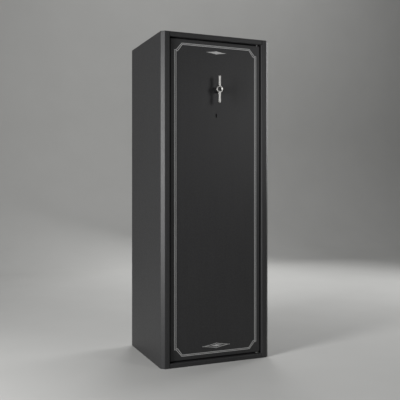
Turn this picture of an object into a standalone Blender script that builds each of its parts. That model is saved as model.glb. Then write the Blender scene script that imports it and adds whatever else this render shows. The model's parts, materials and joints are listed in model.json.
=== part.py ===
"""Gun safe: a folded steel cabinet with an inset door, three-way boltwork, a lever lock and a barrel rack.

The origin is at the middle of the base. +Z is up and the door faces -Y. All lengths are in metres.
"""
import math

import bmesh
import bpy
from mathutils import Vector

# Cabinet
WIDTH = 0.540
DEPTH = 0.460
HEIGHT = 1.500
WALL = 0.003
CORNER = 0.016          # leg of the bevel on the two front corners
STILE = 0.040           # width of the frame beside the door
RAIL = 0.022            # height of the frame above and below the door
JAMB = 0.030            # depth of the frame's inner side
FLANGE = 0.030          # lip behind the jamb, which the bolts bear on
RAIL_LIP = 0.012
FIT = 0.0003            # gap between pieces that touch

# Door
DOOR_GAP = 0.004
RECESS = 0.012          # how far the door lies behind the frame
SKIN = 0.004
DOOR_DEPTH = 0.048
DOOR_BEND = 0.004       # outer radius of the folds
PAN_LIP = 0.020
COVER = 0.002
DOOR_SWING_EDGE = 0.012  # from the hinge axis to the door's edge
PIVOT_BACK = 0.009       # from the door's face back to the hinge axis
PIN_R = 0.004
PIN_LENGTH = 0.036
PIN_HEAD_R = 0.0055
PIN_HEAD = 0.004
WASHER_R = 0.008
SCREW_X = 0.213          # from the door's middle to the cover's screws
SCREW_HEIGHTS = (0.090, 0.620, 1.410)
SCREW_HOLE_R = 0.0023
BUSH_REACH = 0.012       # from the hinge axis to the bush's inner side
BUSH_DEPTH = 0.016
BUSH_LENGTH = 0.030
DOG_REACH = 0.014        # how far the dog bar stands out of the door's side
DOG_DEPTH = 0.010
DOG_HEIGHTS = (0.200, 1.300)
CHANNEL_X = 0.100
CHANNEL_FLANGE = 0.015
CHANNEL_WIDTH = 0.030
CHANNEL_DEPTH = 0.020
CHANNEL_END = 0.030      # from the door's ends to the channel's

# Handle and boltwork
HANDLE_Z = 1.252
HANDLE_PLANE = 0.037    # from the door's face to the middle of the handle
HANDLE_THICK = 0.010
HANDLE_REACH = 0.0625   # from the axis to the end of an arm
HUB_R = 0.016
HUB_HOLE_R = 0.0098
BOSS_R = 0.0135
SPINDLE_R = 0.006
GEAR_MODULE = 0.0015
GEAR_TEETH = 18
PRESSURE_ANGLE = math.radians(20)
BACKLASH = 0.00025
PLATE = 0.004           # thickness of the carriage and the rods
CARRIAGE_BACK = 0.033   # from the door's face to the middle of the carriage
ROD_BACK = 0.026        # from the door's face to the middle of the rods
BOLT_R = 0.008
END_BOLT_R = 0.006
BOLT_HEIGHTS = (0.300, 0.750, 1.225)
ROD_WIDTH = 0.012
BOLT_TIP_IN = 0.0005     # how far a drawn bolt stops inside the door's side
BOLT_SLACK = 0.0006
END_BOLT = 0.044         # length of the round ends of the two rods
ARM_WIDTH = 0.014        # height of the carriage's arms
ARM_END = 0.038          # from the handle's axis to the end of the toothed arm
LOW_ARM_Z = 0.262
LOW_ARM_END = -0.050
SPINE = (-0.182, -0.152)
SPINE_Z = (0.255, 1.300)
GUIDE_WALL = 0.006
GUIDE_X = -0.110
GUIDE_LENGTH = 0.025
ROD_GUIDE_HEIGHTS = (0.200, 1.380)

# Lock
LOCK_Z = 1.135
KEYHOLE_HEIGHT = 0.020
KEYHOLE_WIDTH = 0.0065
CURTAIN_R = 0.009
CASE_HALF = 0.032
CASE_LOW = 0.043        # from the key's axis to the bottom of the lock case
CASE_HIGH = 0.0425
CASE_DEPTH = 0.0152
CASE_WALL = 0.0025
LOCK_BOLT_X = 0.010
LOCK_BOLT_WIDTH = 0.012
LOCK_BOLT_LAYER = (0.0045, 0.0125)   # between these depths in the case
LOCK_BOLT_FOOT = 0.016   # from the key's axis to the foot of the bolt
LOCK_COVER = 0.0022
LOCK_TAB = 0.0075
LOCK_ARM_UP = 0.051      # from the key's axis to the arm that the lock bolt blocks
KEY_SLOT = (0.003, 0.0085)           # half width and half height of the curtain's slot

# Inside
LINING = 0.003
MAT = 0.008
SHELF_Z = 1.245
SHELF_SHEET = 0.002
SHELF_LIP = 0.020
SHELF_FRONT = -0.100
CLIP_PLACES = (("front", -0.060), ("back", 0.170))
CLIP_WIDTH = 0.020
CLIP_TOP = 0.014
CLIP_SIDE = 0.022
RACK_Z = 1.100
RACK_THICK = 0.018
RACK_DEPTH = 0.085
NOTCHES = 7
NOTCH_R = 0.016
NOTCH_DEEP = 0.038
NOTCH_STEPS = 8
RACK_ANGLE = 0.030
BRACKET_SHEET = 0.002
ANCHOR_R = 0.007
ANCHOR_MARGIN = 0.002    # the lining's holes are this much larger in radius
WALL_ANCHORS = [(x, z) for x in (-0.150, 0.150) for z in (0.200, 1.400)]
FLOOR_ANCHORS = [(x, y) for x in (-0.180, 0.180) for y in (-0.100, 0.150)]
STOP_HEIGHTS = (("upper", 1.160), ("lower", 0.160))
STOP_TALL = 0.040
STOP_SHEET = 0.003
STOP_END = -0.205
BUFFER_THICK = 0.0035
BUFFER_X = (-0.225, -0.207)
BUFFER_MARGIN = 0.010    # from the tab's ends to the buffer's
LINING_FRONT = 0.050     # from the frame's inner side back to the linings

HALF_W = WIDTH / 2
FRONT = -DEPTH / 2
BACK = DEPTH / 2
INNER_W = HALF_W - WALL
OPENING = HALF_W - STILE
JAMB_END = FRONT + JAMB
DOOR_FACE = FRONT + RECESS
DOOR_INSIDE = DOOR_FACE + SKIN
DOOR_BACK = DOOR_FACE + DOOR_DEPTH
DOOR_HALF = OPENING - DOOR_GAP
DOOR_LOW = RAIL + DOOR_GAP
DOOR_HIGH = HEIGHT - RAIL - DOOR_GAP
PIVOT_X = DOOR_HALF - DOOR_SWING_EDGE
PIVOT_Y = DOOR_FACE + PIVOT_BACK
PITCH_R = GEAR_MODULE * GEAR_TEETH / 2
HANDLE_Y = DOOR_FACE - HANDLE_PLANE
CARRIAGE_Y = DOOR_FACE + CARRIAGE_BACK
ROD_Y = DOOR_FACE + ROD_BACK
ROD_X = PITCH_R + 1.25 * GEAR_MODULE + ROD_WIDTH / 2
RACK_ROOT = HANDLE_Z + PITCH_R + 1.25 * GEAR_MODULE
RACK_ARM = (RACK_ROOT, RACK_ROOT + ARM_WIDTH)
LOCK_ARM = (LOCK_Z + LOCK_ARM_UP, LOCK_Z + LOCK_ARM_UP + ARM_WIDTH)
LOW_ARM = (LOW_ARM_Z, LOW_ARM_Z + ARM_WIDTH)
SCREW_PLACES = [(x, z) for x in (-SCREW_X, SCREW_X) for z in SCREW_HEIGHTS]
SIDES = 24
PAST = 0.010             # how far a cutting shape runs past the faces that it cuts

AXES = {}
EMPTIES = {}


# --- shapes -------------------------------------------------------------------------------------

def box(low, high):
    """A block between two corners."""
    bm = bmesh.new()
    bmesh.ops.create_cube(bm, size=1.0)
    low, high = Vector(low), Vector(high)
    bmesh.ops.scale(bm, vec=high - low, verts=bm.verts)
    bmesh.ops.translate(bm, vec=(low + high) / 2, verts=bm.verts)
    return bm


def prism(outline, axis, low, high):
    """An outline extruded along X, Y or Z. Its points give the other two coordinates in order."""
    along = "XYZ".index(axis)
    step = Vector((0, 0, 0))
    step[along] = high - low
    bm = bmesh.new()
    corners = []
    for point in outline:
        place = list(point)
        place.insert(along, low)
        corners.append(bm.verts.new(place))
    grown = bmesh.ops.extrude_face_region(bm, geom=[bm.faces.new(corners)])["geom"]
    bmesh.ops.translate(bm, vec=step, verts=[v for v in grown if isinstance(v, bmesh.types.BMVert)])
    bmesh.ops.recalc_face_normals(bm, faces=bm.faces)
    return bm


def turned(profile, centre, axis, sides=SIDES):
    """A profile of (radius, distance along the axis) points spun round an axis through the centre.

    A profile that starts and ends off the axis is closed into a ring.
    """
    centre, axis = Vector(centre), Vector(axis).normalized()
    side = axis.orthogonal().normalized()
    bm = bmesh.new()
    verts = [bm.verts.new(centre + side * radius + axis * along) for radius, along in profile]
    edges = [bm.edges.new(pair) for pair in zip(verts, verts[1:])]
    if profile[0][0] > 0:
        edges.append(bm.edges.new((verts[-1], verts[0])))
    bmesh.ops.spin(bm, geom=verts + edges, cent=centre, axis=axis, angle=math.tau, steps=sides)
    bmesh.ops.remove_doubles(bm, verts=bm.verts, dist=5e-6)
    bmesh.ops.recalc_face_normals(bm, faces=bm.faces)
    return bm


def bar(radius, start, end, sides=SIDES):
    """A round bar between two points."""
    start, end = Vector(start), Vector(end)
    length = (end - start).length
    return turned([(0, 0), (radius, 0), (radius, length), (0, length)], start, end - start, sides)


def tube(outer, inner, start, end, sides=SIDES):
    """A round tube between two points."""
    start, end = Vector(start), Vector(end)
    length = (end - start).length
    return turned([(outer, 0), (outer, length), (inner, length), (inner, 0)], start, end - start, sides)


def beside(path, distance):
    """The open path moved to its right by the distance, with mitred corners."""
    points = [Vector(p) for p in path]
    normals = []
    for a, b in zip(points, points[1:]):
        run = (b - a).normalized()
        normals.append(Vector((run.y, -run.x)))
    moved = [points[0] + normals[0] * distance]
    for point, n0, n1 in zip(points[1:-1], normals, normals[1:]):
        moved.append(point + (n0 + n1) * distance / (1 + n0.dot(n1)))
    moved.append(points[-1] + normals[-1] * distance)
    return moved


def folded_sheet(path, thickness, axis, low, high):
    """A sheet whose outer face follows the path, with its thickness on the path's right."""
    inner = beside(path, thickness)
    return prism([Vector(p) for p in path] + inner[::-1], axis, low, high)


def slot_outline(width, height, centre_z, steps=8):
    """An upright slot with round ends, in X and Z."""
    radius = width / 2
    rise = height / 2 - radius
    points = []
    for end, first in ((rise, 0.0), (-rise, math.pi)):
        for i in range(steps + 1):
            angle = first + math.pi * i / steps
            points.append((radius * math.cos(angle), centre_z + end + radius * math.sin(angle)))
    return points


def joined(shapes):
    """Several closed shapes in one mesh, for cutting."""
    whole = bmesh.new()
    for shape in shapes:
        mesh = bpy.data.meshes.new("shape")
        shape.to_mesh(mesh)
        shape.free()
        whole.from_mesh(mesh)
        bpy.data.meshes.remove(mesh)
    return whole


# --- pieces -------------------------------------------------------------------------------------

FINISHES = {
    "powder_coat": ((0.040, 0.040, 0.042), 0.55, 0.0),
    "black_paint": ((0.012, 0.012, 0.013), 0.5, 0.0),
    "satin_steel": ((0.60, 0.61, 0.62), 0.32, 1.0),
    "zinc_plate": ((0.50, 0.51, 0.50), 0.4, 1.0),
    "brass": ((0.72, 0.52, 0.22), 0.35, 1.0),
    "rubber": ((0.015, 0.015, 0.015), 0.8, 0.0),
    "felt": ((0.10, 0.10, 0.11), 0.95, 0.0),
}


def finish(name, kind):
    """A piece's own material."""
    colour, roughness, metallic = FINISHES[kind]
    material = bpy.data.materials.new(name + "_finish")
    material.use_nodes = True
    shader = material.node_tree.nodes["Principled BSDF"]
    shader.inputs["Base Color"].default_value = (*colour, 1.0)
    shader.inputs["Roughness"].default_value = roughness
    shader.inputs["Metallic"].default_value = metallic
    return material


def body(name, at, parent=None):
    """An empty on the body's joint axis, which its pieces hang from."""
    empty = bpy.data.objects.new(name + "_axis", None)
    bpy.context.scene.collection.objects.link(empty)
    AXES[name] = Vector(at)
    EMPTIES[name] = empty
    if parent:
        empty.parent = EMPTIES[parent]
        empty.location = AXES[name] - AXES[parent]
    else:
        empty.location = AXES[name]


def piece(name, shape, body_name, kind, smooth=False):
    """A shape made into a named object whose origin is at its middle, hung from its body's axis."""
    corners = [v.co for v in shape.verts]
    low = Vector([min(c[i] for c in corners) for i in range(3)])
    high = Vector([max(c[i] for c in corners) for i in range(3)])
    centre = (low + high) / 2
    bmesh.ops.translate(shape, vec=-centre, verts=shape.verts)
    mesh = bpy.data.meshes.new(name)
    shape.to_mesh(mesh)
    shape.free()
    if smooth:
        mesh.shade_smooth()
        mesh.set_sharp_from_angle(angle=math.radians(35))
    obj = bpy.data.objects.new(name, mesh)
    bpy.context.scene.collection.objects.link(obj)
    obj.parent = EMPTIES[body_name]
    obj.location = centre - AXES[body_name]
    mesh.materials.append(finish(name, kind))
    return obj


def again(source, name, shift, kind):
    """A copy of a piece, moved by the shift, with the same mesh and its own material."""
    obj = bpy.data.objects.new(name, source.data)
    bpy.context.scene.collection.objects.link(obj)
    obj.parent = source.parent
    obj.location = source.location + Vector(shift)
    obj.material_slots[0].link = "OBJECT"
    obj.material_slots[0].material = finish(name, kind)
    return obj


def boolean(target, shape, operation):
    """A guide shape that cuts its target, or is added to it."""
    mesh = bpy.data.meshes.new(target.name + "_guide")
    shape.to_mesh(mesh)
    shape.free()
    guide = bpy.data.objects.new(target.name + "_guide", mesh)
    bpy.context.scene.collection.objects.link(guide)
    guide.hide_render = True
    guide.display_type = "WIRE"
    modifier = target.modifiers.new(operation.lower(), "BOOLEAN")
    modifier.operation = operation
    modifier.solver = "EXACT"
    modifier.object = guide


def cut(target, *shapes):
    boolean(target, joined(shapes), "DIFFERENCE")


# --- cabinet ------------------------------------------------------------------------------------

def make_casing():
    """Sides, back, front stiles, jambs and lips, folded from one sheet."""
    left = [(-OPENING - FLANGE, JAMB_END), (-OPENING, JAMB_END), (-OPENING, FRONT),
            (-HALF_W + CORNER, FRONT), (-HALF_W, FRONT + CORNER), (-HALF_W, BACK)]
    path = left + [(-x, y) for x, y in left[::-1]]
    shape = folded_sheet(path, WALL, "Z", WALL + FIT, HEIGHT - WALL - FIT)
    casing = piece("casing", shape, "cabinet", "powder_coat")
    cut(casing, *[bar(ANCHOR_R, (x, BACK - PAST, z), (x, BACK + PAST, z)) for x, z in WALL_ANCHORS])


def make_end_panels():
    """The plates that close the casing at its top and bottom, welded on."""
    outline = [(-HALF_W + CORNER, FRONT), (HALF_W - CORNER, FRONT), (HALF_W, FRONT + CORNER), (HALF_W, BACK),
               (-HALF_W, BACK), (-HALF_W, FRONT + CORNER)]
    piece("top_panel", prism(outline, "Z", HEIGHT - WALL, HEIGHT), "cabinet", "powder_coat")
    floor = piece("floor_panel", prism(outline, "Z", 0, WALL), "cabinet", "powder_coat")
    cut(floor, *[bar(ANCHOR_R, (x, y, -PAST), (x, y, PAST)) for x, y in FLOOR_ANCHORS])


def make_rails():
    """The frame above and below the door, with a hole for the hinge pin in each."""
    half = OPENING - FIT
    low_path = [(FRONT, WALL + FIT), (FRONT, RAIL), (JAMB_END, RAIL), (JAMB_END, RAIL - RAIL_LIP)]
    high_path = [(y, HEIGHT - z) for y, z in low_path[::-1]]
    for name, path, z in (("bottom_rail", low_path, RAIL), ("top_rail", high_path, HEIGHT - RAIL)):
        rail = piece(name, folded_sheet(path, WALL, "X", -half, half), "cabinet", "powder_coat")
        cut(rail, bar(PIN_R + FIT, (PIVOT_X, PIVOT_Y, z - 2 * WALL), (PIVOT_X, PIVOT_Y, z + 2 * WALL)))


def make_hinge_pins():
    """Headed pins that stand in the rails, and the washer that carries the door's weight."""
    profile = [(0, 0), (PIN_HEAD_R, 0), (PIN_HEAD_R, PIN_HEAD), (PIN_R, PIN_HEAD), (PIN_R, PIN_LENGTH),
               (0, PIN_LENGTH)]
    low = RAIL - WALL - FIT - PIN_HEAD
    for name, z, up in (("bottom", low, 1), ("top", HEIGHT - low, -1)):
        pin = turned(profile, (PIVOT_X, PIVOT_Y, z), (0, 0, up))
        piece("hinge_pin_" + name, pin, "cabinet", "satin_steel", True)
    washer = tube(WASHER_R, PIN_R + FIT, (PIVOT_X, PIVOT_Y, RAIL + FIT), (PIVOT_X, PIVOT_Y, DOOR_LOW - FIT))
    piece("thrust_washer", washer, "cabinet", "brass", True)


def make_door_stops():
    """Tabs on the lock side that the closed door rests against, each with a rubber buffer."""
    near = DOOR_BACK + FIT + COVER
    far = near + BUFFER_THICK
    for name, z in STOP_HEIGHTS:
        tab = box((-INNER_W + FIT, far, z), (STOP_END, far + STOP_SHEET, z + STOP_TALL))
        piece("door_stop_" + name, tab, "cabinet", "powder_coat")
        pad = box((BUFFER_X[0], near + FIT, z + BUFFER_MARGIN),
                  (BUFFER_X[1], far - FIT, z + STOP_TALL - BUFFER_MARGIN))
        piece("door_buffer_" + name, pad, "cabinet", "rubber")


def make_linings():
    """Felt boards glued to the walls, and the ribbed rubber mat that the stocks stand on."""
    near = JAMB_END + LINING_FRONT
    low = WALL + FIT
    high = HEIGHT - WALL - FIT
    inner = INNER_W - FIT
    rear = BACK - WALL - FIT
    left = box((-inner, near, low), (-inner + LINING, rear, high))
    lining = piece("lining_left", left, "cabinet", "felt")
    again(lining, "lining_right", (2 * inner - LINING, 0, 0), "felt")
    half = inner - LINING - FIT
    board = piece("lining_back", box((-half, rear - LINING, low), (half, rear, high)), "cabinet", "felt")
    mat_rear = rear - LINING - FIT
    mat = piece("floor_mat", box((-half, near, low), (half, mat_rear, low + MAT)), "cabinet", "rubber")
    hole = ANCHOR_R + ANCHOR_MARGIN
    cut(board, *[bar(hole, (x, rear - PAST, z), (x, rear + PAST, z)) for x, z in WALL_ANCHORS])
    cut(mat, *[bar(hole, (x, y, low - PAST), (x, y, low + 2 * PAST)) for x, y in FLOOR_ANCHORS])


def make_shelf():
    """A folded shelf above the guns, on four clips."""
    half = INNER_W - LINING - 3 * FIT
    rear = BACK - WALL - LINING - 4 * FIT
    path = [(rear, SHELF_Z), (SHELF_FRONT, SHELF_Z), (SHELF_FRONT, SHELF_Z - SHELF_LIP)]
    sheet = folded_sheet(path[::-1], SHELF_SHEET, "X", -half, half)
    piece("shelf", sheet, "cabinet", "felt")
    top = SHELF_Z - SHELF_SHEET - FIT
    outer = INNER_W - LINING - 2 * FIT
    path = [(outer - CLIP_TOP, top), (outer, top), (outer, top - CLIP_SIDE)]
    mirrored = [(-x, z) for x, z in path[::-1]]
    for side, outline in (("left", mirrored), ("right", path)):
        for end, y in CLIP_PLACES:
            clip = folded_sheet(outline, BRACKET_SHEET, "Y", y, y + CLIP_WIDTH)
            piece("shelf_clip_%s_%s" % (side, end), clip, "cabinet", "zinc_plate")


def make_barrel_rack():
    """A board with round-ended notches that hold the barrels, and the angle that carries it."""
    half = INNER_W - LINING - 3 * FIT
    rear = BACK - WALL - LINING - 4 * FIT
    front = rear - RACK_DEPTH
    pitch = 2 * half / (NOTCHES + 0.5)
    outline = [(-half, rear), (-half, front)]
    for i in range(NOTCHES):
        x = (i - (NOTCHES - 1) / 2) * pitch
        outline.append((x - NOTCH_R, front))
        for step in range(NOTCH_STEPS + 1):
            angle = math.pi * step / NOTCH_STEPS
            y = front + NOTCH_DEEP - NOTCH_R + NOTCH_R * math.sin(angle)
            outline.append((x - NOTCH_R * math.cos(angle), y))
        outline.append((x + NOTCH_R, front))
    outline += [(half, front), (half, rear)]
    piece("barrel_rack", prism(outline, "Z", RACK_Z, RACK_Z + RACK_THICK), "cabinet", "felt")
    top = RACK_Z - FIT
    path = [(rear - RACK_ANGLE, top), (rear, top), (rear, top - RACK_ANGLE)]
    piece("rack_angle", folded_sheet(path, BRACKET_SHEET, "X", -half, half), "cabinet", "zinc_plate")


# --- door ---------------------------------------------------------------------------------------

def make_door_pan():
    """The door: a skin with folded sides and a lip round its open back."""
    shape = box((-DOOR_HALF, DOOR_FACE, DOOR_LOW), (DOOR_HALF, DOOR_BACK, DOOR_HIGH))
    front = [e for e in shape.edges if all(v.co.y < DOOR_FACE + 1e-6 for v in e.verts)]
    bmesh.ops.bevel(shape, geom=front, offset=DOOR_BEND, segments=3, profile=0.5, affect="EDGES")
    pan = piece("door_pan", shape, "door", "powder_coat")
    inside = box((-DOOR_HALF + SKIN, DOOR_INSIDE, DOOR_LOW + SKIN),
                 (DOOR_HALF - SKIN, DOOR_BACK - SKIN, DOOR_HIGH - SKIN))
    cut(pan, inside)
    window = box((-DOOR_HALF + PAN_LIP, DOOR_BACK - PAST, DOOR_LOW + PAN_LIP),
                 (DOOR_HALF - PAN_LIP, DOOR_BACK + PAST, DOOR_HIGH - PAN_LIP))
    cut(pan, window)
    skin = (DOOR_FACE - PAST, DOOR_INSIDE + PAST)
    holes = [bar(SPINDLE_R + 0.001, (0, skin[0], HANDLE_Z), (0, skin[1], HANDLE_Z)),
             prism(slot_outline(KEYHOLE_WIDTH, KEYHOLE_HEIGHT, LOCK_Z), "Y", *skin)]
    side = (-DOOR_HALF - PAST, -DOOR_HALF + PAST)
    for z in BOLT_HEIGHTS:
        holes.append(bar(BOLT_R + BOLT_SLACK, (side[0], CARRIAGE_Y, z), (side[1], CARRIAGE_Y, z)))
    for x, z in ((ROD_X, DOOR_HIGH), (-ROD_X, DOOR_LOW)):
        holes.append(bar(END_BOLT_R + BOLT_SLACK, (x, ROD_Y, z - PAST), (x, ROD_Y, z + PAST)))
    for z in (DOOR_LOW, DOOR_HIGH):
        holes.append(bar(PIN_R + FIT, (PIVOT_X, PIVOT_Y, z - PAST), (PIVOT_X, PIVOT_Y, z + PAST)))
    cut(pan, *holes)
    lip = (DOOR_BACK - PAST, DOOR_BACK + PAST)
    cut(pan, *[bar(SCREW_HOLE_R, (x, lip[0], z), (x, lip[1], z), 12) for x, z in SCREW_PLACES])


def make_door_cover():
    """The plate over the boltwork, screwed to the pan's lip."""
    low = box((-DOOR_HALF + 0.006, DOOR_BACK + FIT, DOOR_LOW + 0.010),
              (DOOR_HALF - 0.006, DOOR_BACK + FIT + COVER, DOOR_HIGH - 0.010))
    cover = piece("door_cover", low, "door", "felt")
    seat = DOOR_BACK + FIT + COVER
    cut(cover, *[bar(SCREW_HOLE_R, (x, seat - PAST, z), (x, seat + PAST, z), 12) for x, z in SCREW_PLACES])
    profile = [(0, 0), (0.0026, 0), (0.0040, -0.0010), (0.0044, -0.0022), (0.002, -0.0022), (0.002, -0.011),
               (0, -0.011)]
    first = None
    for number, (x, z) in enumerate(SCREW_PLACES, 1):
        name = "cover_screw_%d" % number
        if first is None:
            head = turned(profile, (x, seat + FIT + 0.0022, z), (0, 1, 0), 16)
            first = piece(name, head, "door", "zinc_plate", True)
            start = (x, z)
        else:
            again(first, name, (x - start[0], 0, z - start[1]), "zinc_plate")


def make_hinge_bushes():
    """Bored blocks welded in the pan's corners, which turn on the pins."""
    x0, x1 = PIVOT_X - BUSH_REACH, DOOR_HALF - SKIN - FIT
    y0, y1 = DOOR_INSIDE + FIT, DOOR_INSIDE + BUSH_DEPTH
    low = DOOR_LOW + SKIN + FIT
    for name, z0 in (("bottom", low), ("top", HEIGHT - low - BUSH_LENGTH)):
        z1 = z0 + BUSH_LENGTH
        block = piece("hinge_bush_" + name, box((x0, y0, z0), (x1, y1, z1)), "door", "zinc_plate")
        cut(block, bar(PIN_R + FIT, (PIVOT_X, PIVOT_Y, z0 - PAST), (PIVOT_X, PIVOT_Y, z1 + PAST)))


def make_dog_bar():
    """The fixed bar on the hinge side that hooks behind the frame."""
    strip = box((DOOR_HALF + FIT, CARRIAGE_Y - DOG_DEPTH, DOG_HEIGHTS[0]),
                (DOOR_HALF + DOG_REACH, CARRIAGE_Y, DOG_HEIGHTS[1]))
    piece("dog_bar", strip, "door", "satin_steel")


def make_stiffener():
    """A hat-shaped channel welded upright inside the skin."""
    y0 = DOOR_INSIDE + FIT
    y1 = y0 + CHANNEL_DEPTH
    near = CHANNEL_X + CHANNEL_FLANGE
    far = near + CHANNEL_WIDTH
    path = [(CHANNEL_X, y0), (near, y0), (near, y1), (far, y1), (far, y0), (far + CHANNEL_FLANGE, y0)]
    channel = folded_sheet(path, -BRACKET_SHEET, "Z", DOOR_LOW + CHANNEL_END, DOOR_HIGH - CHANNEL_END)
    piece("door_stiffener", channel, "door", "black_paint")


def make_guides():
    """Blocks on the skin that the rods and the carriage's arms slide through."""
    y0 = DOOR_INSIDE + FIT
    thick = PLATE / 2 + BOLT_SLACK
    wide = ROD_WIDTH / 2 + BOLT_SLACK
    for name, x, z in (("top", ROD_X, ROD_GUIDE_HEIGHTS[1]), ("bottom", -ROD_X, ROD_GUIDE_HEIGHTS[0])):
        half = ROD_WIDTH / 2 + GUIDE_WALL
        block = box((x - half, y0, z), (x + half, ROD_Y + 0.005, z + GUIDE_LENGTH))
        guide = piece("rod_guide_" + name, block, "door", "black_paint")
        cut(guide, box((x - wide, ROD_Y - thick, z - PAST),
                       (x + wide, ROD_Y + thick, z + GUIDE_LENGTH + PAST)))
    x0, x1 = GUIDE_X, GUIDE_X + GUIDE_LENGTH
    for name, (low, high) in (("upper", RACK_ARM), ("lower", LOW_ARM)):
        block = box((x0, y0, low - GUIDE_WALL), (x1, CARRIAGE_Y + 0.005, high + GUIDE_WALL))
        guide = piece("carriage_guide_" + name, block, "door", "black_paint")
        cut(guide, box((x0 - PAST, CARRIAGE_Y - thick, low - BOLT_SLACK),
                       (x1 + PAST, CARRIAGE_Y + thick, high + BOLT_SLACK)))


# --- handle and boltwork ------------------------------------------------------------------------

def involute(angle):
    return math.tan(angle) - angle


def pinion_outline():
    """The pinion's teeth as involutes, in X and Z round the handle's axis. A tooth points along +X."""
    base = PITCH_R * math.cos(PRESSURE_ANGLE)
    tip = PITCH_R + GEAR_MODULE
    root = PITCH_R - 1.25 * GEAR_MODULE
    half = (math.pi * GEAR_MODULE / 2 - BACKLASH) / (2 * PITCH_R)
    flank = []
    for step in range(5):
        radius = base + (tip - base) * step / 4
        angle = half + involute(PRESSURE_ANGLE) - involute(math.acos(min(1.0, base / radius)))
        flank.append((radius, angle))
    points = []
    for tooth in range(GEAR_TEETH):
        middle = math.tau * tooth / GEAR_TEETH
        rising = [(root, -flank[0][1])] + [(r, -a) for r, a in flank]
        falling = [(r, a) for r, a in flank[::-1]] + [(root, flank[0][1])]
        for radius, angle in rising + falling:
            points.append((radius * math.cos(middle + angle), HANDLE_Z + radius * math.sin(middle + angle)))
    return points


def rack_teeth(first, count):
    """Points of straight rack teeth as (along, above the pitch line), from the first tooth's middle on."""
    pitch = math.pi * GEAR_MODULE
    half = (pitch / 2 - BACKLASH) / 2
    slope = math.tan(PRESSURE_ANGLE)
    root, tip = -1.25 * GEAR_MODULE, GEAR_MODULE
    points = []
    for i in range(count):
        middle = first + i * pitch
        points += [(middle - half + root * slope, root), (middle - half + tip * slope, tip),
                   (middle + half - tip * slope, tip), (middle + half - root * slope, root)]
    return points


def make_carriage():
    """The plate that carries the side bolts: a spine, a toothed arm, a lock arm and a low arm."""
    left, right = SPINE
    teeth = [(x, HANDLE_Z + PITCH_R - up) for x, up in rack_teeth(-math.pi * GEAR_MODULE, 8)]
    low, high = SPINE_Z
    lock_end = 2 * LOCK_BOLT_X + LOCK_BOLT_WIDTH / 2
    outline = [(left, low), (right, low)]
    for arm, end in ((LOW_ARM, LOW_ARM_END), (LOCK_ARM, lock_end)):
        outline += [(right, arm[0]), (end, arm[0]), (end, arm[1]), (right, arm[1])]
    outline += [(right, RACK_ARM[0])] + teeth + [(ARM_END, RACK_ARM[0]), (ARM_END, RACK_ARM[1])]
    outline += [(right, RACK_ARM[1]), (right, high), (left, high)]
    plate = prism(outline, "Y", CARRIAGE_Y - PLATE / 2, CARRIAGE_Y + PLATE / 2)
    piece("bolt_carriage", plate, "carriage", "zinc_plate")
    tip = -DOOR_HALF + BOLT_TIP_IN
    length = left - FIT - tip
    profile = [(0, 0), (BOLT_R - 0.002, 0), (BOLT_R, 0.002), (BOLT_R, length), (0, length)]
    first = None
    for number, z in enumerate(BOLT_HEIGHTS, 1):
        name = "side_bolt_%d" % number
        if first is None:
            shape = turned(profile, (tip, CARRIAGE_Y, z), (1, 0, 0))
            first = piece(name, shape, "carriage", "satin_steel", True)
        else:
            again(first, name, (0, 0, z - BOLT_HEIGHTS[0]), "satin_steel")
    edge = LOCK_BOLT_X + LOCK_BOLT_WIDTH / 2 + 0.0005
    tab = box((edge, DOOR_INSIDE + 0.005, LOCK_ARM[0] - 0.004),
              (edge + LOCK_TAB, CARRIAGE_Y - PLATE / 2 - FIT, LOCK_ARM[1]))
    piece("lock_tab", tab, "carriage", "zinc_plate")


def make_rod(name, side):
    """A flat rod with rack teeth at the pinion and a round bolt at its far end. side is +1 for up."""
    pitch = math.pi * GEAR_MODULE
    reach = DOOR_HIGH - HANDLE_Z if side > 0 else HANDLE_Z - DOOR_LOW
    near, far = -0.034, reach - END_BOLT
    teeth = rack_teeth(-5.5 * pitch, 7)
    root = PITCH_R + 1.25 * GEAR_MODULE
    outline = [(root, near)] + [(PITCH_R - up, along) for along, up in teeth]
    outline += [(root, far), (root + ROD_WIDTH, far), (root + ROD_WIDTH, near)]
    outline = [(side * x, HANDLE_Z + side * z) for x, z in outline]
    plate = prism(outline, "Y", ROD_Y - PLATE / 2, ROD_Y + PLATE / 2)
    piece(name + "_rod", plate, name + "_rod", "zinc_plate")
    start = (side * ROD_X, ROD_Y, HANDLE_Z + side * (far + FIT))
    length = END_BOLT - FIT - BOLT_TIP_IN
    taper = 0.0015
    profile = [(0, 0), (END_BOLT_R, 0), (END_BOLT_R, length - taper), (END_BOLT_R - taper, length),
               (0, length)]
    piece(name + "_bolt", turned(profile, start, (0, 0, side)), name + "_rod", "satin_steel", True)


def arm_outline(steps=10):
    """Half of the handle: one arm, which tapers and ends round, growing out of the ring hub."""
    tip_r = 0.0042
    waist = 0.0050
    points = []
    for i in range(steps + 1):
        t = i / steps
        angle = math.radians(8) + t * math.radians(52)
        points.append((HUB_R * math.cos(angle), HUB_R * math.sin(angle)))
    points.append((waist, 0.0235))
    for i in range(steps + 1):
        angle = math.pi * i / (2 * steps)
        points.append((tip_r * math.cos(angle), HANDLE_REACH - tip_r + tip_r * math.sin(angle)))
    left = [(-x, z) for x, z in points[::-1][1:]]
    return points + left


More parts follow.
